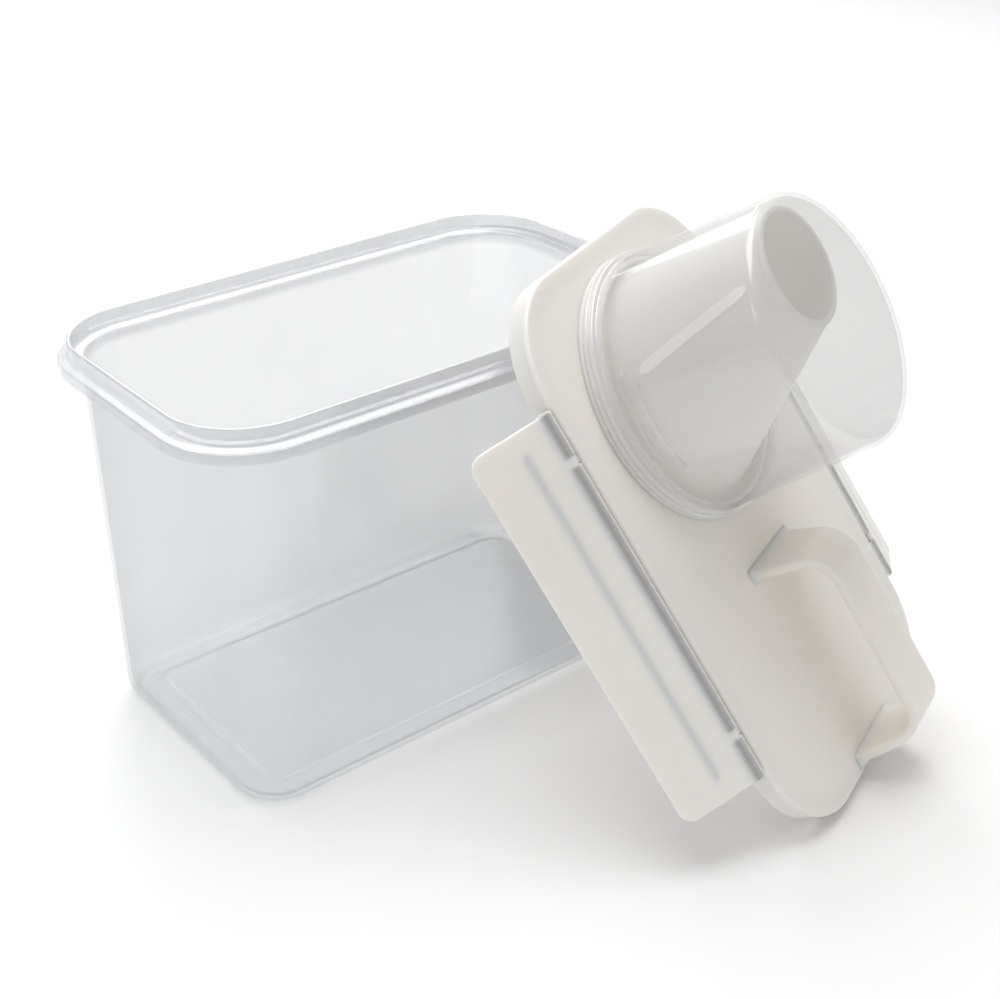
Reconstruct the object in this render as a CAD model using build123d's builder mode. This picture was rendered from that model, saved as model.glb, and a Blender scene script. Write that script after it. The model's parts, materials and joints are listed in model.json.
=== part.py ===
"""Dry-feed storage tub with a pouring lid and a measuring cup.

The tub stands upright and open at the origin: z = 0 is the face it stands on, its long side runs
along X and its front long side faces -Y.  The lid has been taken off.  It leans on the tub's front
right rim corner, with its handle end on the ground.  Every piece of the lid is drawn flat in the
lid's own frame, and is then carried to that place:

    lid frame   origin in the middle of the lid's top face, X along its length towards the handle,
                Y across it, Z out of its top face
"""
import os

from build123d import *

# ---- driving dimensions, millimetres -----------------------------------------------------------
# tub
tub_length = 235.0  # over the rim's flange
tub_width = 145.0
tub_height = 166.0  # ground to the top of the rim's neck
rim_corner = 37.0  # corner radius of the flange
tub_wall = 1.6
tub_floor = 2.6
base_edge_radius = 7.0
base_corner = 21.0
floor_panel_depth = 0.8  # shallow panel sunk in the floor
floor_panel_margin = 13.0
flange_overhang = 8.6  # flange edge out from the body wall
wall_draft = 1.0  # how far each wall leans in from top to bottom
flange_thickness = 1.8
flange_lip = 5.0  # height of the flange's turned-down edge
flange_lip_wall = 1.6
neck_height = 7.0
neck_inset = 4.2  # neck face in from the flange edge
neck_wall = 1.8
rim_edge_radius = 0.6

# lid
lid_inset = 1.5  # lid edge in from the flange edge, all round
plate_thickness = 2.4
plate_edge_radius = 1.0
skirt_inset = 0.6
skirt_wall = 1.6
plug_wall = 1.8
plug_depth = 6.2  # below the plate

# seal round the plug
seal_height = 4.0
seal_rise = 1.0  # seal's lower edge above the plug's
seal_groove = 0.5
seal_core = 1.1  # thickness of the seal's band
seal_lip = 0.7  # how far each lip stands out from the band
seal_lip_height = 0.8

# pouring spout
spout_offset = -52.8  # its axis along the lid
spout_base_radius = 46.5
spout_mouth_radius = 22.0
spout_lean = -21.7  # mouth centre from the base centre, along the lid
spout_wall = 1.7
spout_lip = 0.7
spout_lip_height = 1.6
spout_lip_edge = 0.5
spout_flange_step = 7.1  # flange's edge out from the foot of the cone
spout_flange_thickness = 2.0
spigot_step = 1.3  # outside of the spigot out from the foot of the cone
spigot_wall = 1.6
collar_step = 3.7  # outside of the collar out from the foot of the cone
collar_wall = 1.6
collar_height = 5.5

# measuring cup over the spout
cup_height = 71.4
cup_taper = 4.2  # end's radius less than the mouth's
cup_end_edge = 3.0
cup_wall = 1.6
cup_bead = 1.7  # how far the mouth's bead stands out
cup_bead_height = 3.2

# carrying handle
handle_start = 22.8  # outer face of the foot beside the cup
handle_end = 113.0
handle_height = 30.0
handle_foot_width = 36.4
handle_grip_width = 24.0
handle_thickness = 3.8
handle_leg_run = 3.5  # how far each leg leans in over its height
handle_bend = 14.0
handle_edge_radius = 1.3

# locking flaps and their hinges
flap_length = 155.0
flap_reach = 35.3  # lid edge to the flap's free edge
flap_thickness = 2.0
flap_root = 1.9  # how far the flap's plate reaches in past the hinge axis
flap_corner = 6.0
flap_groove = 0.7  # depth of the two grooves along the flap
first_groove = 12.5  # from the lid edge
second_groove = 25.0
hook_thickness = 2.2
hook_hold = 1.4  # how far the hook reaches under the flange's lip
hook_end_margin = 9.0
barrel_radius = 3.0
lug_place = 58.0  # each side of the middle
lug_width = 3.2
lug_radius = 1.9
lug_neck = 2.4
hinge_pin_radius = 0.9
hinge_pin_length = 22.0
left_flap_angle = 43.0  # below the plane of the lid
right_flap_angle = 22.0

# clearances
seat_clearance = 0.2  # lid plate above the neck when it is shut
seal_clearance = 0.1  # seal to neck when it is shut
spigot_clearance = 0.15
cup_clearance = 0.4  # cup to collar
cup_lift = 0.3  # cup's rim above the spout's flange
mouth_clearance = 0.9  # spout to the cup's end
hinge_gap = 0.4  # barrel to lid edge
lug_end_gap = 0.3
lug_clearance = 0.3
pin_press = 0.01  # radial room of a pin in its lug
pin_running = 0.06  # radial room of a pin in the flap
hook_clearance = 0.4
lean_clearance = 0.35

# where the lid leans
lid_roll = 3.7
lid_lean = 56.4
lid_turn = -65.0
rim_touch_across = 38.6  # where the rim touches, measured across the lid from its middle

# ---- worked-out sizes --------------------------------------------------------------------------
flange_top = tub_height - neck_height
body_inset = flange_overhang + wall_draft
neck_bore_inset = neck_inset + neck_wall
rim_outline = (tub_length, tub_width, rim_corner)
base_outline = (tub_length - 2 * body_inset, tub_width - 2 * body_inset, base_corner)

lid_length = tub_length - 2 * lid_inset
lid_width = tub_width - 2 * lid_inset
lid_outline = (lid_length, lid_width, rim_corner - lid_inset)
skirt_depth = neck_height + plate_thickness + seat_clearance
seal_inset = neck_bore_inset - lid_inset + seal_clearance
plug_inset = seal_inset + seal_lip + seal_core - seal_groove
plug_bottom = -plate_thickness - plug_depth
seal_bottom = plug_bottom + seal_rise

spout_plane = Plane((spout_offset, 0, 0))
mouth_plane = Plane((spout_offset + spout_lean, 0, 0))
cup_foot = spout_flange_thickness + cup_lift
spout_flange_radius = spout_base_radius + spout_flange_step
spigot_radius = spout_base_radius + spigot_step
collar_radius = spout_base_radius + collar_step
cup_mouth_radius = collar_radius + cup_clearance + cup_wall
cup_end_radius = cup_mouth_radius - cup_taper
spout_height = cup_foot + cup_height - cup_wall - mouth_clearance
lip_share = spout_lip_height / (spout_height - spout_flange_thickness)
lip_plane = Plane((spout_offset + spout_lean * (1 - lip_share), 0, 0))
lip_foot_radius = spout_mouth_radius + (spout_base_radius - spout_mouth_radius) * lip_share + spout_lip

hinge_line = lid_width / 2 + hinge_gap + barrel_radius  # hinge axis, across the lid
hinge_level = -barrel_radius
hook_place = skirt_depth + flange_lip + hinge_level + hook_clearance
hook_depth = hinge_line + barrel_radius - flap_thickness - tub_width / 2 + hook_hold


def rounded(length, width, corner, inset, mode=Mode.ADD):
    """A rounded rectangle set in by the same amount all round."""
    RectangleRounded(length - 2 * inset, width - 2 * inset, corner - inset, mode=mode)


def band(outline, outer_inset, inner_inset, bottom, top, mode=Mode.ADD):
    """A band of one wall that follows a rounded-rectangle outline."""
    with BuildSketch(Plane.XY.offset(bottom)) as outline_band:
        rounded(*outline, outer_inset)
        rounded(*outline, inner_inset, mode=Mode.SUBTRACT)
    extrude(outline_band.sketch, amount=top - bottom, mode=mode)


def ring(outer_radius, inner_radius, bottom, top):
    """A round band about the spout's axis."""
    with BuildSketch(spout_plane.offset(bottom)) as round_band:
        Circle(outer_radius)
        Circle(inner_radius, mode=Mode.SUBTRACT)
    extrude(round_band.sketch, amount=top - bottom)


def save(piece, name, place=Location()):
    """Carry a finished piece to its place, label it and write it."""
    piece.part.move(place)
    piece.part.label = name
    export_step(piece.part, f"parts/{name}.step")


os.makedirs("parts", exist_ok=True)

# ---- tub: one clear moulding, open at the top --------------------------------------------------
with BuildPart() as tub_space:
    with BuildSketch(Plane.XY.offset(tub_floor)):
        rounded(*base_outline, tub_wall)
    with BuildSketch(Plane.XY.offset(flange_top)):
        rounded(*rim_outline, flange_overhang + tub_wall)
    loft(ruled=True)
    fillet(tub_space.faces().sort_by(Axis.Z)[0].edges(), base_edge_radius - tub_wall)

with BuildPart() as tub:
    # straight drafted walls with a rounded bottom edge
    with BuildSketch():
        rounded(*base_outline, 0)
    with BuildSketch(Plane.XY.offset(flange_top)):
        rounded(*rim_outline, flange_overhang)
    loft(ruled=True)
    fillet(tub.faces().sort_by(Axis.Z)[0].edges(), base_edge_radius)
    add(tub_space.part, mode=Mode.SUBTRACT)

    # shallow panel sunk in the floor
    with BuildSketch(Plane.XY.offset(tub_floor)):
        rounded(*base_outline, floor_panel_margin)
    extrude(amount=-floor_panel_depth, mode=Mode.SUBTRACT)

    # rim: a flange with a turned-down edge, and the neck that the lid slides over
    flange_root = flange_overhang + tub_wall / 2
    band(rim_outline, 0, flange_root, flange_top - flange_thickness, flange_top)
    band(rim_outline, 0, flange_lip_wall, flange_top - flange_lip, flange_top)
    band(rim_outline, neck_inset, neck_bore_inset, flange_top, tub_height)
    flange_face = tub.faces().filter_by(Axis.Z).sort_by(lambda face: face.outer_wire().length)[-1]
    fillet(tub.faces().sort_by(Axis.Z)[-1].edges(), rim_edge_radius)
    fillet(flange_face.outer_wire().edges(), rim_edge_radius)

save(tub, "tub")

# ---- where the lid leans -----------------------------------------------------------------------
# The lid's tilt is set.  Its place follows from three touches: the rim's corner comes up to the
# plane of the skirt's edge, at a set place across the lid, and the skirt's lowest point is on the
# ground.
tilt = Plane(Location((0, 0, 0), (lid_roll, lid_lean, lid_turn), Extrinsic.XYZ))
rim_outward = Vector(tilt.z_dir.X, tilt.z_dir.Y).normalized()
rim_corner_centre = Vector(tub_length / 2 - rim_corner, rim_corner - tub_width / 2, tub_height)
rim_touch = rim_corner_centre + rim_outward * (rim_corner - neck_inset)
lid_out = rim_touch.dot(tilt.z_dir) + skirt_depth + lean_clearance
lid_across = rim_touch.dot(tilt.y_dir) - rim_touch_across

foot_outward = Vector(-tilt.x_dir.Z, -tilt.y_dir.Z).normalized()
foot_corner_centre = Vector(tub_length / 2 - rim_corner, rim_corner - tub_width / 2, -skirt_depth)
foot = foot_corner_centre + foot_outward * (rim_corner - lid_inset - skirt_inset)
foot_drop = foot.X * tilt.x_dir.Z + foot.Y * tilt.y_dir.Z + foot.Z * tilt.z_dir.Z
lid_rise = lid_across * tilt.y_dir.Z + lid_out * tilt.z_dir.Z
lid_along = (-foot_drop - lid_rise) / tilt.x_dir.Z

lid_middle = tilt.x_dir * lid_along + tilt.y_dir * lid_across + tilt.z_dir * lid_out
lid_place = Location(lid_middle, (lid_roll, lid_lean, lid_turn), Extrinsic.XYZ)

# ---- lid: plate, skirt, plug and hinge lugs in one moulding ------------------------------------
with BuildPart() as lid_cover:
    with BuildSketch():
        rounded(*lid_outline, 0)
    extrude(amount=-plate_thickness)
    fillet(lid_cover.faces().sort_by(Axis.Z)[-1].edges(), plate_edge_radius)
    band(lid_outline, skirt_inset, skirt_inset + skirt_wall, -skirt_depth, -plate_thickness)
    band(lid_outline, plug_inset, plug_inset + plug_wall, plug_bottom, -plate_thickness)

    # groove for the seal
    seal_top = seal_bottom + seal_height
    band(lid_outline, plug_inset, plug_inset + seal_groove, seal_bottom, seal_top, Mode.SUBTRACT)

    # lugs that reach out from under the plate's edge to carry the flaps' pins
    lug_root = lid_width / 2 - skirt_inset - skirt_wall / 2
    for lug_centre in (-lug_place, lug_place):
        with BuildSketch(Plane.YZ.offset(lug_centre)):
            for side in (-1, 1):
                with Locations((side * (lug_root + hinge_line) / 2, hinge_level)):
                    Rectangle(hinge_line - lug_root, lug_neck)
                with Locations((side * hinge_line, hinge_level)):
                    Circle(lug_radius)
                    Circle(hinge_pin_radius + pin_press, mode=Mode.SUBTRACT)
        extrude(amount=lug_width / 2, both=True)

    # hole for the spout
    with Locations((spout_offset, 0, 0)):
        Hole(spigot_radius + spigot_clearance, depth=plate_thickness)

save(lid_cover, "lid_cover", lid_place)

# ---- lid seal: soft ring with two lips, seated in the plug's groove ----------------------------
with BuildPart() as lid_seal:
    seal_back = plug_inset + seal_groove
    band(lid_outline, seal_inset + seal_lip, seal_back, seal_bottom, seal_top)
    for lip_bottom in (seal_bottom, seal_top - seal_lip_height):
        band(lid_outline, seal_inset, seal_back, lip_bottom, lip_bottom + seal_lip_height)

save(lid_seal, "lid_seal", lid_place)

# ---- pouring spout: leaning hollow cone on a flange, with a collar that the cup fits over -------
with BuildPart() as pouring_spout:
    with BuildSketch(spout_plane.offset(spout_flange_thickness)):
        Circle(spout_base_radius)
    with BuildSketch(mouth_plane.offset(spout_height)):
        Circle(spout_mouth_radius)
    loft()
    with BuildSketch(lip_plane.offset(spout_height - spout_lip_height)):
        Circle(lip_foot_radius)
    with BuildSketch(mouth_plane.offset(spout_height)):
        Circle(spout_mouth_radius + spout_lip)
    loft()
    ring(spout_flange_radius, spigot_radius - spigot_wall, 0, spout_flange_thickness)
    with BuildSketch(spout_plane.offset(spout_flange_thickness)):
        Circle(spout_base_radius - spout_wall)
    with BuildSketch(mouth_plane.offset(spout_height)):
        Circle(spout_mouth_radius - spout_wall)
    loft(mode=Mode.SUBTRACT)
    collar_top = spout_flange_thickness + collar_height
    ring(collar_radius, collar_radius - collar_wall, spout_flange_thickness, collar_top)
    ring(spigot_radius, spigot_radius - spigot_wall, -skirt_depth, spout_flange_thickness)
    mouth_face = pouring_spout.faces().sort_by(Axis.Z)[-1]
    fillet(mouth_face.edges(), spout_lip_edge)

save(pouring_spout, "pouring_spout", lid_place)

# ---- measuring cup: turned over and pushed on to the collar ------------------------------------
with BuildPart() as measuring_cup:
    cup_plane = Plane((spout_offset, 0, cup_foot), x_dir=(1, 0, 0), z_dir=(0, -1, 0))
    with BuildSketch(cup_plane) as cup_profile:
        with BuildLine():
            bead_radius = cup_mouth_radius + cup_bead
            Polyline(
                (0, cup_height),
                (cup_end_radius, cup_height),
                (cup_mouth_radius, cup_bead_height + cup_bead),
                (bead_radius, cup_bead_height),
                (bead_radius, 0),
                (cup_mouth_radius - cup_wall, 0),
                (cup_mouth_radius - cup_wall, cup_bead_height + cup_bead),
                (cup_end_radius - cup_wall, cup_height - cup_wall),
                (0, cup_height - cup_wall),
                close=True,
            )
        make_face()
        corners = cup_profile.vertices().group_by(Axis.Y)
        outer_corner = corners[-1].sort_by(Axis.X)[-1]
        inner_corner = corners[-2].sort_by(Axis.X)[-1]
        fillet(inner_corner, cup_end_edge - cup_wall)
        fillet(outer_corner, cup_end_edge)
    revolve(axis=Axis((spout_offset, 0, 0), (0, 0, 1)))

save(measuring_cup, "measuring_cup", lid_place)

# ---- handle: bent strap, wider at its feet, welded to the plate --------------------------------
with BuildPart() as handle:
    half = handle_thickness / 2
    with BuildSketch(Plane.XZ):
        with BuildLine():
            FilletPolyline(
                (handle_start + half - handle_leg_run, -handle_height),
                (handle_start + half + handle_leg_run, handle_height - half),
                (handle_end - half - handle_leg_run, handle_height - half),
                (handle_end - half + handle_leg_run, -handle_height),
                radius=handle_bend - half,
            )
        trace(line_width=handle_thickness)
    extrude(amount=handle_foot_width / 2, both=True)
    with BuildSketch(Plane.YZ.offset(handle_start - handle_leg_run)):
        with BuildLine():
            Polyline(
                (-handle_foot_width / 2, 0),
                (-handle_grip_width / 2, handle_height),
                (handle_grip_width / 2, handle_height),
                (handle_foot_width / 2, 0),
                close=True,
            )
        make_face()
    extrude(amount=handle_end - handle_start + 2 * handle_leg_run, mode=Mode.INTERSECT)
    side_faces = handle.faces().filter_by(GeomType.PLANE).sort_by(Axis.Y)
    side_edges = side_faces[0].edges() + side_faces[-1].edges()
    fillet(side_edges.filter_by(lambda edge: edge.center().Z > half), handle_edge_radius)

save(handle, "handle", lid_place)

# ---- locking flaps: ribbed plates with a hook inside and a barrel along the hinge --------------
lug_places = (-lug_place, lug_place)
flap_waves = (
    (hinge_line - flap_root, 0),
    (lid_width / 2 + first_groove / 2, 0),
    (lid_width / 2 + first_groove, -flap_groove),
    (lid_width / 2 + (first_groove + second_groove) / 2, 0),
    (lid_width / 2 + second_groove, -flap_groove),
    (lid_width / 2 + (second_groove + flap_reach) / 2, 0),
    (lid_width / 2 + flap_reach, -flap_groove),
)
with BuildPart() as right_flap:
    # waved plate and barrel, drawn level with the lid
    with BuildSketch(Plane.YZ):
        with BuildLine():
            upper = Spline(*flap_waves)
            lower = Spline(*[(across, up - flap_thickness) for across, up in flap_waves])
            Line(upper @ 0, lower @ 0)
            Line(upper @ 1, lower @ 1)
        make_face()
        with Locations((hinge_line, hinge_level)):
            Circle(barrel_radius)
    extrude(amount=flap_length / 2, both=True)
    fillet(right_flap.edges().filter_by(Axis.Z).group_by(Axis.Y)[-1], flap_corner)

    # hook that catches under the flange's lip
    with BuildSketch(Plane.YZ):
        with Locations((hinge_line + hook_place, -flap_thickness - hook_depth)):
            Rectangle(hook_thickness, hook_depth + flap_thickness / 2, align=(Align.MIN, Align.MIN))
    extrude(amount=flap_length / 2 - hook_end_margin, both=True)

    # room for the lugs, with a thin skin left over them, and bores for the pins
    for lug_centre in lug_places:
        with BuildSketch(Plane.YZ.offset(lug_centre)):
            with Locations((hinge_line, hinge_level)):
                Circle(lug_radius + lug_clearance)
                with Locations((-lug_neck / 3, 0)):
                    Rectangle(2 * barrel_radius, 3 * barrel_radius, align=(Align.MAX, Align.CENTER))
                Rectangle(3 * barrel_radius, 2 * barrel_radius, align=(Align.CENTER, Align.MAX))
        extrude(amount=lug_width / 2 + lug_end_gap, both=True, mode=Mode.SUBTRACT)
        with BuildSketch(Plane.YZ.offset(lug_centre)):
            with Locations((hinge_line, hinge_level)):
                Circle(hinge_pin_radius + pin_running)
        extrude(amount=hinge_pin_length / 2 + lug_end_gap, both=True, mode=Mode.SUBTRACT)

with BuildPart() as left_flap:
    mirror(right_flap.part, about=Plane.XZ)


def hinged(side, angle):
    """The place of a flap that hangs at this angle below the lid."""
    hinge = Location((0, side * hinge_line, hinge_level), (-side * angle, 0, 0))
    return lid_place * hinge * Location((0, -side * hinge_line, -hinge_level))


save(right_flap, "right_flap", hinged(1, right_flap_angle))
save(left_flap, "left_flap", hinged(-1, left_flap_angle))

# ---- hinge pins: pressed into the lugs, two to a flap -------------------------------------------
for side, name in ((-1, "left_hinge_pins"), (1, "right_hinge_pins")):
    with BuildPart() as hinge_pins:
        for lug_centre in lug_places:
            with BuildSketch(Plane.YZ.offset(lug_centre)):
                with Locations((side * hinge_line, hinge_level)):
                    Circle(hinge_pin_radius)
            extrude(amount=hinge_pin_length / 2, both=True)
        chamfer(hinge_pins.edges().filter_by(GeomType.CIRCLE), hinge_pin_radius / 4)
    save(hinge_pins, name, lid_place)
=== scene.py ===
"""Looks of the dry-feed tub with its pouring lid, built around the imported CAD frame.

Sizes are in metres, in the frame of the tub: z = 0 is the ground, X runs along the tub's long side.
The lid's pieces are made flat in the lid's own frame (X along it towards the handle, Y across it,
Z out of its top face) and are then carried to where the lid leans.
"""
import json
import math

import bmesh
import bpy
from mathutils import Matrix, Vector


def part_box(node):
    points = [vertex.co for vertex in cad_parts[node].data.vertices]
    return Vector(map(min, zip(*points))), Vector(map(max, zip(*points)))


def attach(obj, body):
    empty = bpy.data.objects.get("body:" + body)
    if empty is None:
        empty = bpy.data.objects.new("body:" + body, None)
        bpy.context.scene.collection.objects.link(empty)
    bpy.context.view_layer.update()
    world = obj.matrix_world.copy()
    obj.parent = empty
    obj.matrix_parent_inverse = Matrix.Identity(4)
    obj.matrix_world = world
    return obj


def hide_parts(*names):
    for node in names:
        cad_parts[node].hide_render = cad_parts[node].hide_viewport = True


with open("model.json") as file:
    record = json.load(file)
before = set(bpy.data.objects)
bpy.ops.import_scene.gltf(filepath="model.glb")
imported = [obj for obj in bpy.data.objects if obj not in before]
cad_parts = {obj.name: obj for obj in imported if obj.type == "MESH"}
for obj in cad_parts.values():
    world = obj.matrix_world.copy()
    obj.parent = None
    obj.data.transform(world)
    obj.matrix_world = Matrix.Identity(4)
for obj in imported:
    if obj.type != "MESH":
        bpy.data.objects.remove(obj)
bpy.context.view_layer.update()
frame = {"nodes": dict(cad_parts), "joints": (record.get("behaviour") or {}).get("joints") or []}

# ---- studio ------------------------------------------------------------------------------------
# A plain white table under a bright, even room, with three soft panels: one overhead, one low on
# the left that draws the long highlights on the clear walls, and one behind for the rims.
white_room = bpy.data.worlds.new("white_room")
white_room.use_nodes = True
room_light = white_room.node_tree.nodes["Background"]
room_light.inputs["Color"].default_value = (1.0, 1.0, 1.0, 1)
room_light.inputs["Strength"].default_value = 0.52
bpy.context.scene.world = white_room
bpy.context.scene.view_settings.view_transform = "Standard"


def soft_panel(name, place, aim, size, watts):
    """A square soft light that faces a point."""
    lamp = bpy.data.lights.new(name, "AREA")
    lamp.size = size
    lamp.energy = watts
    panel = bpy.data.objects.new(name, lamp)
    panel.location = place
    panel.rotation_euler = (Vector(aim) - Vector(place)).to_track_quat("-Z", "Y").to_euler()
    bpy.context.scene.collection.objects.link(panel)


soft_panel("panel_overhead", (0.1, 0.3, 1.8), (0, -0.05, 0.1), 1.5, 24)
soft_panel("panel_left", (-1.3, 0.1, 0.8), (0, -0.05, 0.1), 0.35, 1.8)
soft_panel("panel_behind", (0.7, 1.3, 0.9), (0, 0, 0.1), 0.6, 6)

camera = bpy.data.objects.new("camera", bpy.data.cameras.new("camera"))
camera.data.lens = 57.05
camera.data.sensor_width = 36.0
camera.location = (-0.325, -0.496, 0.402)
camera.rotation_euler = (math.radians(61.13), math.radians(1.03), math.radians(-38.43))
bpy.context.scene.collection.objects.link(camera)
bpy.context.scene.camera = camera

table_half = 6.0
table_mesh = bpy.data.meshes.new("table")
table_corners = [(-table_half, -table_half, 0), (table_half, -table_half, 0)]
table_corners += [(table_half, table_half, 0), (-table_half, table_half, 0)]
table_mesh.from_pydata(table_corners, [], [(0, 1, 2, 3)])
table = bpy.data.objects.new("table", table_mesh)
bpy.context.scene.collection.objects.link(table)
table_paint = bpy.data.materials.new("table_paint")
table_paint.use_nodes = True
table_shader = table_paint.node_tree.nodes["Principled BSDF"]
table_shader.inputs["Base Color"].default_value = (0.93, 0.93, 0.93, 1)
table_shader.inputs["Roughness"].default_value = 0.8
table_shader.inputs["Specular IOR Level"].default_value = 0.0
table_mesh.materials.append(table_paint)

# ---- tub ---------------------------------------------------------------------------------------
# One injection moulding in clear polypropylene, 1.6 mm thick.  Its walls lean out a little so that
# it leaves the mould.  Round the top runs a flange with a turned-down edge that the flaps hook
# under, and on the flange stands the neck that the lid slides over.
tub_low, tub_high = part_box("tub")
tub_length, tub_width, tub_height = tub_high - tub_low
rim_corner = 0.037
neck_height = 0.007
flange_top = tub_height - neck_height
flange_thickness = 0.0018
flange_lip_depth, flange_lip_wall = 0.005, 0.0016  # the turned-down edge
neck_outer_inset, neck_inner_inset = 0.0042, 0.0060
tub_foot_inset = 0.0096  # wall at the ground, in from the flange's edge
tub_top_inset = 0.0086  # wall at the flange
tub_wall = 0.0016
tub_corner_squeeze = 0.0064  # the corners are this much tighter at the ground
floor_thickness, floor_border = 0.0026, 0.013
panel_thickness, panel_step = 0.0018, 0.0007  # the floor is thinner inside its border


def arc_corners(outline, steps=4):
    """A closed outline of (x, y, corner radius) with each corner turned as an arc."""
    nearly_straight = math.radians(88)  # half the angle of a corner too flat to turn
    most_of_side = 0.48  # an arc takes less than half of either side
    turned = []
    for index, (x, y, radius) in enumerate(outline):
        corner = Vector((x, y))
        back = Vector(outline[index - 1][:2]) - corner
        ahead = Vector(outline[(index + 1) % len(outline)][:2]) - corner
        half_angle = back.angle(ahead) / 2
        if radius == 0 or half_angle > nearly_straight:
            turned.append(corner)
            continue
        run = min(radius / math.tan(half_angle), most_of_side * back.length, most_of_side * ahead.length)
        inward = (back.normalized() + ahead.normalized()).normalized()
        centre = corner + inward * run / math.cos(half_angle)
        first = corner + back.normalized() * run - centre
        last = corner + ahead.normalized() * run - centre
        sweep = first.angle(last)
        for step in range(steps + 1):
            part = step / steps * sweep
            spoke = (first * math.sin(sweep - part) + last * math.sin(part)) / math.sin(sweep)
            turned.append(centre + spoke)
    return turned


def level_line(length, width, corner, height, steps=14):
    """One level line round a box with rounded corners."""
    points = []
    for quarter, (side_x, side_y) in enumerate(((1, 1), (-1, 1), (-1, -1), (1, -1))):
        for step in range(steps + 1):
            turn = (quarter + step / steps) * math.pi / 2
            across = side_x * (length / 2 - corner) + corner * math.cos(turn)
            along = side_y * (width / 2 - corner) + corner * math.sin(turn)
            points.append((across, along, height))
    return points


def stretch(skin, lines, joined=False):
    """Faces between each closed line and the next.  Gives back the rows of points."""
    rows = [[skin.verts.new(point) for point in line] for line in lines]
    pairs = list(zip(rows, rows[1:] + rows[:1])) if joined else list(zip(rows, rows[1:]))
    for row, next_row in pairs:
        for index in range(len(row)):
            after = (index + 1) % len(row)
            skin.faces.new((row[index], row[after], next_row[after], next_row[index]))
    return rows


def made(name, skin, place=None, material=None, body=None, stands_for=()):
    """The finished piece: closed, faced outwards, smooth, at its place and riding on its body."""
    bmesh.ops.remove_doubles(skin, verts=skin.verts, dist=1e-6)
    bmesh.ops.recalc_face_normals(skin, faces=skin.faces)
    mesh = bpy.data.meshes.new(name)
    skin.to_mesh(mesh)
    skin.free()
    if place is not None:
        mesh.transform(place)
    mesh.shade_smooth()
    mesh.set_sharp_from_angle(angle=math.radians(40))
    piece = bpy.data.objects.new(name, mesh)
    bpy.context.scene.collection.objects.link(piece)
    even = piece.modifiers.new("even_normals", "WEIGHTED_NORMAL")
    even.keep_sharp = True
    even.weight = 90
    mesh.materials.append(material)
    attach(piece, body)
    if stands_for:
        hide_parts(*stands_for)


def noise(nodes, links, scale, detail, where):
    """A noise pattern on the piece's own coordinates."""
    texture = nodes.new("ShaderNodeTexNoise")
    texture.inputs["Scale"].default_value = scale
    texture.inputs["Detail"].default_value = detail
    links.new(where, texture.inputs["Vector"])
    return texture.outputs["Fac"]


def ranged(nodes, links, value, low, high, from_low=0.3, from_high=0.7):
    """The value carried over to another range."""
    span = nodes.new("ShaderNodeMapRange")
    limits = (("From Min", from_low), ("From Max", from_high), ("To Min", low), ("To Max", high))
    for name, number in limits:
        span.inputs[name].default_value = number
    links.new(value, span.inputs["Value"])
    return span.outputs["Result"]


def added(nodes, links, first, second):
    """Two values added and held between 0 and 1."""
    total = nodes.new("ShaderNodeMath")
    total.operation = "ADD"
    total.use_clamp = True
    links.new(first, total.inputs[0])
    links.new(second, total.inputs[1])
    return total.outputs[0]


def clear_plastic(name, tint, shade, haze, edge_haze, rim_tint, rim_haze, up, rim_from, rim_to):
    """Clear polypropylene: a thin haze, thicker where the wall is seen edge on, with faint flow marks.

    From one height to another the haze changes to the rim's, where the moulding is thicker.  Heights
    are along up, the direction in which the moulding opens.
    """
    plastic = bpy.data.materials.new(name)
    plastic.use_nodes = True
    nodes, links = plastic.node_tree.nodes, plastic.node_tree.links
    shader = nodes["Principled BSDF"]
    shader.inputs["IOR"].default_value = 2.0
    shader.inputs["Specular IOR Level"].default_value = 1.0
    where = nodes.new("ShaderNodeTexCoord").outputs["Object"]
    flow = noise(nodes, links, 22, 3, where)
    colour = nodes.new("ShaderNodeMix")
    colour.data_type = "RGBA"
    colour.inputs["A"].default_value = (*shade, 1)
    colour.inputs["B"].default_value = (*tint, 1)
    links.new(ranged(nodes, links, flow, 0, 1), colour.inputs["Factor"])
    polish = noise(nodes, links, 60, 2, where)
    links.new(ranged(nodes, links, polish, 0.07, 0.15), shader.inputs["Roughness"])

    facing = nodes.new("ShaderNodeLayerWeight")
    facing.inputs["Blend"].default_value = 0.22
    edge = ranged(nodes, links, facing.outputs["Facing"], 0, edge_haze, 0.0, 1.0)
    body_haze = ranged(nodes, links, flow, haze * 0.9, haze * 1.1)
    height = nodes.new("ShaderNodeVectorMath")
    height.operation = "DOT_PRODUCT"
    height.inputs[1].default_value = up
    links.new(where, height.inputs[0])
    up_to_rim = ranged(nodes, links, height.outputs["Value"], 0, 1, rim_from, rim_to)
    rim = ranged(nodes, links, up_to_rim, 0, rim_haze, 0, 1)
    rim_colour = nodes.new("ShaderNodeMix")
    rim_colour.data_type = "RGBA"
    rim_colour.inputs["B"].default_value = (*rim_tint, 1)
    links.new(up_to_rim, rim_colour.inputs["Factor"])
    links.new(colour.outputs["Result"], rim_colour.inputs["A"])
    links.new(rim_colour.outputs["Result"], shader.inputs["Base Color"])
    haze_sum = added(nodes, links, body_haze, edge)
    links.new(added(nodes, links, haze_sum, rim), shader.inputs["Alpha"])

    waves = nodes.new("ShaderNodeBump")
    waves.inputs["Strength"].default_value = 0.12
    waves.inputs["Distance"].default_value = 0.002
    links.new(noise(nodes, links, 14, 1, where), waves.inputs["Height"])
    links.new(waves.outputs["Normal"], shader.inputs["Normal"])
    return plastic


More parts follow.
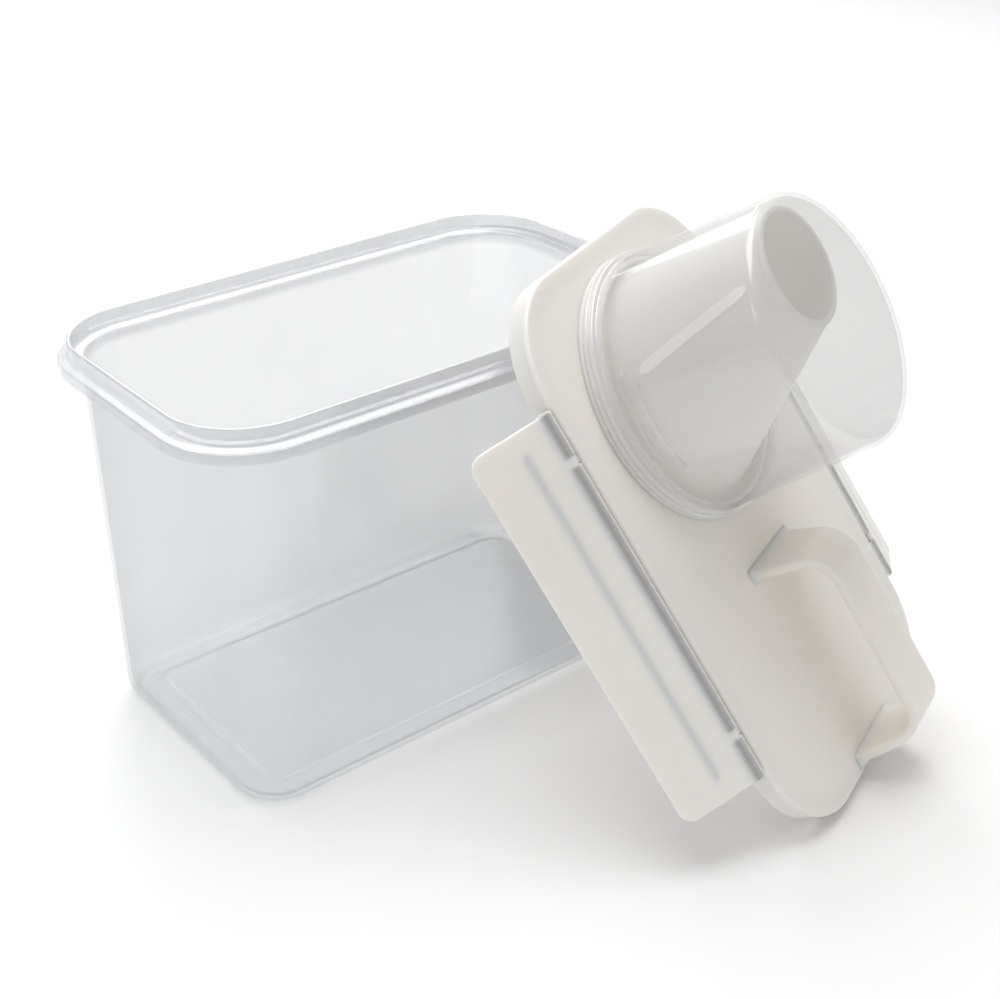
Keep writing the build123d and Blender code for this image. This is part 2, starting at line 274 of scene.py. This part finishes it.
def tub_line(inset, height):
    """A level line of the tub, in from the flange's edge by an amount."""
    squeeze = tub_corner_squeeze * max(0.0, 1 - height / flange_top)
    corner = rim_corner - inset - squeeze
    return level_line(tub_length - 2 * inset, tub_width - 2 * inset, max(corner, 0.002), height)


tub_panel_inset = tub_foot_inset + floor_border
tub_profile = arc_corners([
    (tub_panel_inset + 0.004, 0, 0),
    (tub_foot_inset, 0, 0.007),
    (tub_top_inset, flange_top - flange_thickness, 0.0008),
    (flange_lip_wall, flange_top - flange_thickness, 0.0005),
    (flange_lip_wall, flange_top - flange_lip_depth, 0.0005),
    (0, flange_top - flange_lip_depth, 0.0005),
    (0, flange_top, 0.0007),
    (neck_outer_inset, flange_top, 0.0006),
    (neck_outer_inset, tub_height, 0.0007),
    (neck_inner_inset, tub_height, 0.0007),
    (neck_inner_inset, flange_top, 0.0006),
    (tub_top_inset + tub_wall, flange_top, 0.0007),
    (tub_foot_inset + tub_wall, floor_thickness, 0.0054),
    (tub_panel_inset, floor_thickness, 0.0006),
    (tub_panel_inset + panel_step, panel_thickness, 0.0006),
    (tub_panel_inset + 0.004, panel_thickness, 0),
])
tub_skin = bmesh.new()
tub_rows = stretch(tub_skin, [tub_line(*point) for point in tub_profile])
tub_skin.faces.new(tub_rows[0])
tub_skin.faces.new(tub_rows[-1])
tub_plastic = clear_plastic(
    "clear_plastic", tint=(0.62, 0.64, 0.665), shade=(0.57, 0.59, 0.615), haze=0.21, edge_haze=0.38,
    rim_tint=(0.60, 0.62, 0.66), rim_haze=0.16, up=(0, 0, 1),
    rim_from=tub_height - 0.013, rim_to=tub_height - 0.010,
)
made("tub", tub_skin, material=tub_plastic, body="tub", stands_for=("tub",))

# ---- lid ---------------------------------------------------------------------------------------
# A warm white polypropylene moulding: a flat plate with a rounded edge, a skirt that goes down
# round the tub's neck, and inside it a plug ring with a groove for the seal.  Lugs under its long
# edges carry the flaps' pins.
joints = {joint["name"]: joint for joint in frame["joints"]}
lid_out = Vector(joints["lid_lift"]["axis"])
lid_along = Vector(joints["right_flap_hinge"]["axis"])
lid_across = lid_out.cross(lid_along)
left_hinge = Vector(joints["left_flap_hinge"]["pos_m"])
right_hinge = Vector(joints["right_flap_hinge"]["pos_m"])
hinge_line = (right_hinge - left_hinge).length / 2
barrel_radius = 0.003
lid_middle = (left_hinge + right_hinge) / 2 + lid_out * barrel_radius
lid_turn = Matrix((lid_along, lid_across, lid_out)).transposed()
lid_place = Matrix.Translation(lid_middle) @ lid_turn.to_4x4()

lid_margin = 0.003  # lid shorter and narrower than the tub's flange
lid_length, lid_width = tub_length - lid_margin, tub_width - lid_margin
lid_corner = rim_corner - lid_margin / 2
plate_thickness = 0.0024
skirt_depth = 0.0096
skirt_outer_inset, skirt_inner_inset = 0.0006, 0.0022
plug_inset, plug_wall, plug_depth = 0.0059, 0.0018, 0.0086
spout_offset = -0.0528
spout_hole = 0.04795


def white_plastic(name, light, dark, roughness, grain):
    """Satin white polypropylene: faint cloudy tone, fine moulded grain and a little light let in."""
    plastic = bpy.data.materials.new(name)
    plastic.use_nodes = True
    nodes, links = plastic.node_tree.nodes, plastic.node_tree.links
    shader = nodes["Principled BSDF"]
    shader.inputs["IOR"].default_value = 1.49
    shader.inputs["Subsurface Weight"].default_value = 0.55
    shader.inputs["Subsurface Radius"].default_value = (1.0, 0.75, 0.6)
    shader.inputs["Subsurface Scale"].default_value = 0.006
    where = nodes.new("ShaderNodeTexCoord").outputs["Object"]
    colour = nodes.new("ShaderNodeMix")
    colour.data_type = "RGBA"
    colour.inputs["A"].default_value = (*dark, 1)
    colour.inputs["B"].default_value = (*light, 1)
    links.new(ranged(nodes, links, noise(nodes, links, 18, 4, where), 0, 1), colour.inputs["Factor"])
    links.new(colour.outputs["Result"], shader.inputs["Base Color"])
    sheen = noise(nodes, links, 90, 3, where)
    satin = ranged(nodes, links, sheen, roughness * 0.85, roughness * 1.15)
    links.new(satin, shader.inputs["Roughness"])
    bump = nodes.new("ShaderNodeBump")
    bump.inputs["Strength"].default_value = grain
    bump.inputs["Distance"].default_value = 0.0002
    links.new(noise(nodes, links, 1400, 2, where), bump.inputs["Height"])
    links.new(bump.outputs["Normal"], shader.inputs["Normal"])
    return plastic


lid_plastic = white_plastic("white_plastic", (0.87, 0.835, 0.79), (0.84, 0.805, 0.76), 0.40, 0.18)


def lid_line(inset, height):
    """A level line of the lid, in from the plate's edge by an amount."""
    return level_line(lid_length - 2 * inset, lid_width - 2 * inset, lid_corner - inset, height)


def circle(radius, height, centre=spout_offset, steps=96):
    """A level circle about a point on the lid's long middle line."""
    turns = [step / steps * 2 * math.pi for step in range(steps)]
    return [(centre + radius * math.cos(turn), radius * math.sin(turn), height) for turn in turns]


def fill_between(skin, outer_row, inner_row):
    """A flat face with a hole."""
    border = []
    for row in (outer_row, inner_row):
        for index, point in enumerate(row):
            edge = skin.edges.get((point, row[index - 1]))
            border.append(edge or skin.edges.new((point, row[index - 1])))
    bmesh.ops.triangle_fill(skin, edges=border, use_beauty=True)


lid_profile = arc_corners([
    (0.004, 0, 0),
    (0, 0, 0.0011),
    (0, -plate_thickness, 0.0005),
    (skirt_outer_inset, -plate_thickness, 0.0003),
    (skirt_outer_inset, -skirt_depth, 0.0006),
    (skirt_inner_inset, -skirt_depth, 0.0006),
    (skirt_inner_inset, -plate_thickness, 0.0005),
    (plug_inset, -plate_thickness, 0.0005),
    (plug_inset, -plug_depth, 0.0006),
    (plug_inset + plug_wall, -plug_depth, 0.0006),
    (plug_inset + plug_wall, -plate_thickness, 0.0005),
    (0.012, -plate_thickness, 0),
])
lid_skin = bmesh.new()
lid_rows = stretch(lid_skin, [lid_line(*point) for point in lid_profile])
hole_rows = stretch(lid_skin, [circle(spout_hole, 0), circle(spout_hole, -plate_thickness)])
bmesh.ops.remove_doubles(lid_skin, verts=lid_rows[0] + lid_rows[-1], dist=1e-6)
fill_between(lid_skin, [v for v in lid_rows[0] if v.is_valid], hole_rows[0])
fill_between(lid_skin, [v for v in lid_rows[-1] if v.is_valid], hole_rows[1])
made("lid_cover", lid_skin, lid_place, lid_plastic, "lid", ("lid_cover",))

# hinge lugs: short arms with a round eye, two on each long edge, copied along the lid
lug_place = 0.058
lug_half_width = 0.0016
lug_reach, lug_half_height, eye_radius = 0.0048, 0.0012, 0.0019
lug_skin = bmesh.new()
for side in (-1, 1):
    half_turn = [math.radians(turn) for turn in range(0, 181, 20)]
    eye = [(-side * math.sin(turn), math.cos(turn)) for turn in half_turn]
    outline = [(side * (hinge_line - lug_reach), -lug_half_height - barrel_radius)]
    outline.append((side * (hinge_line - lug_reach), lug_half_height - barrel_radius))
    for across, up in eye:
        outline.append((side * hinge_line - across * eye_radius, up * eye_radius - barrel_radius))
    stations = (-lug_half_width, lug_half_width)
    lug_lines = [[(station, across, up) for across, up in outline] for station in stations]
    lug_rows = stretch(lug_skin, lug_lines)
    for row in lug_rows:
        lug_skin.faces.new(row)
bmesh.ops.recalc_face_normals(lug_skin, faces=lug_skin.faces)
lug_mesh = bpy.data.meshes.new("lug_pair")
lug_skin.to_mesh(lug_mesh)
lug_skin.free()
lug_pair = bpy.data.objects.new("lug_pair", lug_mesh)
bpy.context.scene.collection.objects.link(lug_pair)


def repeated(name, pattern, count, start, step, material):
    """Geometry nodes that set copies of a pattern piece in a straight row, made into one plain mesh."""
    tree = bpy.data.node_groups.new(name, "GeometryNodeTree")
    sockets = {}
    for label, kind, value in (("Count", "NodeSocketInt", count), ("Start", "NodeSocketVector", start),
                               ("Step", "NodeSocketVector", step), ("Pattern", "NodeSocketObject", pattern),
                               ("Material", "NodeSocketMaterial", material)):
        sockets[label] = (tree.interface.new_socket(label, in_out="INPUT", socket_type=kind), value)
    tree.interface.new_socket("Geometry", in_out="OUTPUT", socket_type="NodeSocketGeometry")
    nodes, links = tree.nodes, tree.links
    given = nodes.new("NodeGroupInput").outputs
    row = nodes.new("GeometryNodeMeshLine")
    copies = nodes.new("GeometryNodeInstanceOnPoints")
    piece = nodes.new("GeometryNodeObjectInfo")
    real = nodes.new("GeometryNodeRealizeInstances")
    paint = nodes.new("GeometryNodeSetMaterial")
    result = nodes.new("NodeGroupOutput")
    links.new(given["Count"], row.inputs["Count"])
    links.new(given["Start"], row.inputs["Start Location"])
    links.new(given["Step"], row.inputs["Offset"])
    links.new(given["Pattern"], piece.inputs["Object"])
    links.new(row.outputs["Mesh"], copies.inputs["Points"])
    links.new(piece.outputs["Geometry"], copies.inputs["Instance"])
    links.new(copies.outputs["Instances"], real.inputs["Geometry"])
    links.new(real.outputs["Geometry"], paint.inputs["Geometry"])
    links.new(given["Material"], paint.inputs["Material"])
    links.new(paint.outputs["Geometry"], result.inputs[0])

    carrier = bpy.data.objects.new(name, bpy.data.meshes.new(name))
    bpy.context.scene.collection.objects.link(carrier)
    maker = carrier.modifiers.new(name, "NODES")
    maker.node_group = tree
    for socket, value in sockets.values():
        maker[socket.identifier] = value
    evaluated = carrier.evaluated_get(bpy.context.evaluated_depsgraph_get())
    mesh = bpy.data.meshes.new_from_object(evaluated)
    carrier.modifiers.remove(maker)
    carrier.data = mesh
    bpy.data.objects.remove(pattern)
    return carrier


lugs = repeated("hinge_lugs", lug_pair, 2, (-lug_place, 0, 0), (2 * lug_place, 0, 0), lid_plastic)
lugs.data.transform(lid_place)
lugs.data.shade_smooth()
lugs.data.set_sharp_from_angle(angle=math.radians(40))
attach(lugs, "lid")

# ---- lid seal ----------------------------------------------------------------------------------
# A soft silicone ring pressed into the plug's groove.  Its two lips wipe the inside of the tub's
# neck when the lid is shut.
seal_outer, seal_lip = 0.0046, 0.0007
seal_low, seal_high = -0.0076, -0.0036
seal_lip_height = 0.0008
seal_profile = arc_corners([
    (seal_outer, seal_low, 0.0002),
    (seal_outer, seal_low + seal_lip_height, 0.0002),
    (seal_outer + seal_lip, seal_low + seal_lip_height, 0.0002),
    (seal_outer + seal_lip, seal_high - seal_lip_height, 0.0002),
    (seal_outer, seal_high - seal_lip_height, 0.0002),
    (seal_outer, seal_high, 0.0002),
    (plug_inset, seal_high, 0),
    (plug_inset, seal_low, 0),
], steps=2)
silicone = white_plastic("silicone", (0.80, 0.80, 0.79), (0.76, 0.76, 0.75), 0.62, 0.1)
seal_skin = bmesh.new()
stretch(seal_skin, [lid_line(*point) for point in seal_profile], joined=True)
made("lid_seal", seal_skin, lid_place, silicone, "lid", ("lid_seal",))

# ---- pouring spout -----------------------------------------------------------------------------
# A leaning cone with a thin rounded lip, moulded in one with its flange, the collar that the cup
# pushes on to, and a spigot that goes down through the lid's hole.  It is welded to the plate.
cup_low, cup_high = 0.0023, 0.0737
cup_wall = 0.0016
mouth_gap = 0.0009  # between the spout's lip and the inside of the cup's end
spout_height = cup_high - cup_wall - mouth_gap
spout_lean = -0.0217
spout_base, spout_mouth = 0.0465, 0.022
spout_wall = 0.0017
flange_level, flange_radius = 0.002, 0.0536
spigot_outer, spigot_inner = 0.0478, 0.0462
collar_outer, collar_inner, collar_height = 0.0502, 0.0486, 0.0055


def spout_line(out, height):
    """A level circle of the spout, out from the cone's own surface or from its upright axis."""
    share = (height - flange_level) / (spout_height - flange_level)
    radius = spout_base + (spout_mouth - spout_base) * share + out
    return circle(radius, height, spout_offset + spout_lean * share)


upright = arc_corners([
    (0.0448, flange_level, 0),
    (spigot_inner, flange_level, 0),
    (spigot_inner, -skirt_depth, 0.0006),
    (spigot_outer, -skirt_depth, 0.0006),
    (spigot_outer, 0, 0),
    (flange_radius, 0, 0.0003),
    (flange_radius, flange_level, 0.0008),
    (collar_outer, flange_level, 0.0005),
    (collar_outer, flange_level + collar_height, 0.0006),
    (collar_inner, flange_level + collar_height, 0.0006),
    (collar_inner, flange_level, 0.0006),
    (spout_base, flange_level, 0),
])
lip_reach, lip_height = 0.0007, 0.0016
cone = arc_corners([
    (0, flange_level + 0.0002, 0),
    (0, spout_height - lip_height - 0.0004, 0.0008),
    (lip_reach, spout_height - lip_height, 0.0006),
    (lip_reach, spout_height, 0.0007),
    (-spout_wall, spout_height, 0.0007),
    (-spout_wall, flange_level + 0.0002, 0),
], steps=5)
spout_skin = bmesh.new()
upright_lines = [circle(radius, height) for radius, height in upright]
stretch(spout_skin, upright_lines + [spout_line(*point) for point in cone], joined=True)
made("pouring_spout", spout_skin, lid_place, lid_plastic, "lid", ("pouring_spout",))

# ---- measuring cup -----------------------------------------------------------------------------
# The cup turns over to cover the spout.  It is a milky clear moulding with a double bead round its
# mouth, a raised track low on one side and a frosted scale strip up its wall.
cup_mouth, cup_end = 0.0522, 0.048
bead = 0.0017
cup_profile = arc_corners([
    (0.003, cup_high, 0),
    (cup_end, cup_high, 0.0034),
    (cup_mouth - 0.0003, cup_low + 0.0050, 0.0006),
    (cup_mouth + bead * 0.75, cup_low + 0.0042, 0.0006),
    (cup_mouth + bead * 0.75, cup_low + 0.0026, 0.0005),
    (cup_mouth + bead * 0.45, cup_low + 0.0023, 0.0003),
    (cup_mouth + bead, cup_low + 0.0019, 0.0005),
    (cup_mouth + bead, cup_low, 0.0007),
    (cup_mouth - cup_wall, cup_low, 0.0005),
    (cup_mouth - cup_wall, cup_low + 0.0050, 0.002),
    (cup_end - cup_wall, cup_high - cup_wall, 0.0018),
    (0.003, cup_high - cup_wall, 0),
], steps=5)
cup_skin = bmesh.new()
cup_rows = stretch(cup_skin, [circle(radius, height) for radius, height in cup_profile])
cup_skin.faces.new(cup_rows[0])
cup_skin.faces.new(cup_rows[-1])


def cup_point(turn, height, out):
    """A point on the cup's outer wall, at an angle about its axis."""
    share = (height - cup_low) / (cup_high - cup_low)
    radius = cup_mouth + (cup_end - cup_mouth) * share + out
    angle = math.radians(turn)
    return (spout_offset + radius * math.cos(angle), radius * math.sin(angle), height)


def raised_band(skin, from_turn, to_turn, level, half_height, proud, steps=24):
    """A low bar with rounded edges that runs part of the way round the cup."""
    section = arc_corners([
        (-half_height, -0.0003, 0),
        (-half_height, proud, 0.0003),
        (half_height, proud, 0.0003),
        (half_height, -0.0003, 0),
    ], steps=2)
    lines = []
    for step in range(steps + 1):
        turn = from_turn + (to_turn - from_turn) * step / steps
        lines.append([cup_point(turn, level + up, out) for up, out in section])
    rows = stretch(skin, lines)
    skin.faces.new(rows[0])
    skin.faces.new(rows[-1])


raised_band(cup_skin, -113, -79, 0.0132, 0.0013, 0.0005)
raised_band(cup_skin, -109, -69, 0.0190, 0.0009, 0.0005)
raised_band(cup_skin, -115.5, -113, 0.0150, 0.0011, 0.0009, steps=4)
lid_level = lid_middle.dot(lid_out)
cup_plastic = clear_plastic(
    "cup_plastic", tint=(0.78, 0.775, 0.775), shade=(0.72, 0.715, 0.715), haze=0.17, edge_haze=0.40,
    rim_tint=(0.88, 0.87, 0.86), rim_haze=0.45, up=-lid_out,
    rim_from=-lid_level - 0.012, rim_to=-lid_level - 0.006,
)
made("measuring_cup", cup_skin, lid_place, cup_plastic, "cup", ("measuring_cup",))

# scale strip: a plain frosted band up the cup's wall
strip_foot_turn, strip_top_turn = -112.0, -127.0
strip_foot, strip_top = 0.0225, 0.0702
strip_half_turn = 2.6
strip_back, strip_edge, strip_face = 0.00002, 0.00012, 0.00014  # how far each stands off the wall
strip_skin = bmesh.new()
strip_lines = []
strip_steps = 20
for step in range(strip_steps + 1):
    share = step / strip_steps
    turn = strip_foot_turn + (strip_top_turn - strip_foot_turn) * share
    height = strip_foot + (strip_top - strip_foot) * share
    narrow = math.sqrt(max(0.0, 1 - (2 * share - 1) ** 16))
    half = strip_half_turn * max(narrow, 0.35)
    spots = [(-half, strip_back), (-half, strip_edge), (0, strip_face)]
    spots += [(half, strip_edge), (half, strip_back), (0, strip_back)]
    strip_lines.append([cup_point(turn + sideways, height, out) for sideways, out in spots])
strip_rows = stretch(strip_skin, strip_lines)
strip_skin.faces.new(strip_rows[0])
strip_skin.faces.new(strip_rows[-1])
frosting = clear_plastic(
    "frosting", tint=(0.88, 0.85, 0.84), shade=(0.84, 0.81, 0.80), haze=0.72, edge_haze=0.2,
    rim_tint=(0.8, 0.77, 0.76), rim_haze=0.0, up=(0, 0, 1), rim_from=1, rim_to=2,
)
frosting.node_tree.nodes["Principled BSDF"].inputs["Specular IOR Level"].default_value = 0.3
made("scale_strip", strip_skin, lid_place, frosting, "cup")

# ---- handle ------------------------------------------------------------------------------------
# A bent strap in the same white plastic, wider at its feet than at the grip, with soft edges.  Its
# feet are welded to the lid's plate.
handle_start, handle_end, handle_height = 0.0228, 0.113, 0.030
handle_thickness = 0.0038
foot_width, grip_width = 0.0364, 0.024
leg_lean = 0.0035
half_strap = handle_thickness / 2
first_foot, last_foot = handle_start + half_strap, handle_end - half_strap
strap_route = arc_corners([
    (first_foot, -0.0004, 0),
    (first_foot + leg_lean, handle_height - half_strap, 0.0121),
    (last_foot - leg_lean, handle_height - half_strap, 0.0121),
    (last_foot, -0.0004, 0),
], steps=12)
foot_flare, flare_height = 0.0016, 0.0028
strap_points = []
for index, point in enumerate(strap_route):
    if index in (0, len(strap_route) - 1):
        neighbour = strap_route[1] if index == 0 else strap_route[-2]
        leg = [point.lerp(neighbour, share) for share in (0, 0.05, 0.1, 0.15, 0.2, 0.6)]
        strap_points += leg if index == 0 else leg[::-1]
    else:
        strap_points.append(point)
strap_lines = []
for index, point in enumerate(strap_points):
    before = strap_points[max(index - 1, 0)]
    after = strap_points[min(index + 1, len(strap_points) - 1)]
    ahead = (after - before).normalized()
    square = Vector((-ahead.y, ahead.x))
    flare = foot_flare * max(0.0, 1 - max(point.y, 0) / flare_height) ** 2
    width = foot_width + (grip_width - foot_width) * max(point.y, 0) / handle_height + 2 * flare
    depth = handle_thickness + 2 * flare
    section = arc_corners([
        (-width / 2, -depth / 2, 0.0013),
        (width / 2, -depth / 2, 0.0013),
        (width / 2, depth / 2, 0.0013),
        (-width / 2, depth / 2, 0.0013),
    ], steps=4)
    strap_lines.append([(point.x + square.x * up, across, point.y + square.y * up)
                        for across, up in section])
strap_skin = bmesh.new()
strap_rows = stretch(strap_skin, strap_lines)
strap_skin.faces.new(strap_rows[0])
strap_skin.faces.new(strap_rows[-1])
made("handle", strap_skin, lid_place, lid_plastic, "lid", ("handle",))

# ---- locking flaps -----------------------------------------------------------------------------
# One flap along each long edge of the lid: a plate pressed with two soft grooves, a barrel along
# its hinge with gaps for the lid's lugs, and inside it the hook that catches under the tub's flange.
flap_half_length = 0.0775
flap_thickness = 0.002
flap_corner = 0.006
flap_edge = lid_width / 2 + 0.0353
groove_depth = 0.0004
hook_from, hook_thickness, hook_depth = 0.012, 0.0022, 0.0043
hook_end_gap = 0.009  # the hook stops short of the flap's ends
notch_gap = 0.0003  # between a lug and the barrel beside it
notch_half = lug_half_width + notch_gap
flap_root = hinge_line - 0.0019
flap_waves = ((flap_root, 0), (lid_width / 2 + 0.00625, 0), (lid_width / 2 + 0.0125, 1),
              (lid_width / 2 + 0.01875, 0), (lid_width / 2 + 0.025, 1),
              (lid_width / 2 + 0.03015, 0), (flap_edge, 1))


def flap_height(across):
    """How far the flap's face is pressed down, at a distance across the lid."""
    for (near, near_depth), (far, far_depth) in zip(flap_waves, flap_waves[1:]):
        if across <= far:
            share = (across - near) / (far - near)
            eased = share * share * (3 - 2 * share)
            return -groove_depth * (near_depth + (far_depth - near_depth) * eased)
    return -groove_depth


def flap_half(across):
    """Half the flap's length there: its free corners are rounded."""
    into_corner = across - (flap_edge - flap_corner)
    if into_corner <= 0:
        return flap_half_length
    return flap_half_length - flap_corner + math.sqrt(max(flap_corner**2 - into_corner**2, 0))


def flap_skin():
    """The flap lying level with the lid, on the lid's +Y side."""
    skin = bmesh.new()
    edge_radius = 0.0007
    rows = 64
    reach = flap_edge - flap_root
    spots = [flap_root + reach * (1 - (1 - row / rows) ** 1.25) for row in range(rows + 1)]
    spots[-1] -= 0.00002
    columns = 40
    loops = []
    for across in spots:
        half = flap_half(across)
        top = flap_height(across)
        nearest_edge = min(flap_edge - across, across - flap_root)
        taper = min(1.0, max(0.12, nearest_edge / (1.6 * edge_radius)))
        slim = (1 - math.sqrt(1 - (1 - taper) ** 2)) * flap_thickness / 2
        outline = arc_corners([
            (-half, top - slim, edge_radius),
            (half, top - slim, edge_radius),
            (half, top - flap_thickness + slim, edge_radius),
            (-half, top - flap_thickness + slim, edge_radius),
        ], steps=3)
        loops.append([(along, across, up) for along, up in outline])
    flap_rows = stretch(skin, loops)
    skin.faces.new(flap_rows[0])
    skin.faces.new(flap_rows[-1])

    # barrel in three lengths, between the lugs
    outer_end, inner_end = lug_place + notch_half, lug_place - notch_half
    ease = 0.0004  # bevel on each end of a barrel
    lengths = ((-flap_half_length, -outer_end), (-inner_end, inner_end), (outer_end, flap_half_length))
    for start, end in lengths:
        stations = ((start, barrel_radius - ease), (start + ease, barrel_radius))
        stations += ((end - ease, barrel_radius), (end, barrel_radius - ease))
        lines = []
        for station, radius in stations:
            turns = [math.radians(15 * step) for step in range(24)]
            lines.append([(station, hinge_line + radius * math.cos(turn),
                           radius * math.sin(turn) - barrel_radius) for turn in turns])
        barrel_rows = stretch(skin, lines)
        skin.faces.new(barrel_rows[0])
        skin.faces.new(barrel_rows[-1])

    # hook
    hook_near = hinge_line + hook_from
    hook = arc_corners([
        (hook_near, -flap_thickness - hook_depth, 0.0006),
        (hook_near + hook_thickness, -flap_thickness - hook_depth, 0.0006),
        (hook_near + hook_thickness, -flap_thickness / 2, 0),
        (hook_near, -flap_thickness / 2, 0),
    ], steps=3)
    hook_half = flap_half_length - hook_end_gap
    hook_lines = [[(station, across, up) for across, up in hook] for station in (-hook_half, hook_half)]
    hook_rows = stretch(skin, hook_lines)
    skin.faces.new(hook_rows[0])
    skin.faces.new(hook_rows[-1])
    return skin


opens_above_level = 30.0  # degrees
for name, side, hinge in (("left_flap", -1, left_hinge), ("right_flap", 1, right_hinge)):
    joint = joints[name + "_hinge"]
    hangs = joint["range_deg"][1] - opens_above_level
    swing = Matrix.Rotation(-side * math.radians(hangs), 4, "X")
    flip = Matrix.Scale(side, 4, Vector((0, 1, 0)))
    hinge_spot = Matrix.Translation((0, side * hinge_line, -barrel_radius))
    place = lid_place @ hinge_spot @ swing @ hinge_spot.inverted() @ flip
    skin = flap_skin()
    skin.transform(place)
    made(name, skin, material=lid_plastic, body=name, stands_for=(name,))

# ---- hinge pins --------------------------------------------------------------------------------
# Hard white plastic rods pressed through the lugs; the flaps' barrels turn on them.
pin_plastic = white_plastic("pin_plastic", (0.84, 0.82, 0.79), (0.80, 0.78, 0.75), 0.28, 0.05)
for name in ("left_hinge_pins", "right_hinge_pins"):
    pins = frame["nodes"][name]
    pins.data.materials.clear()
    pins.data.materials.append(pin_plastic)
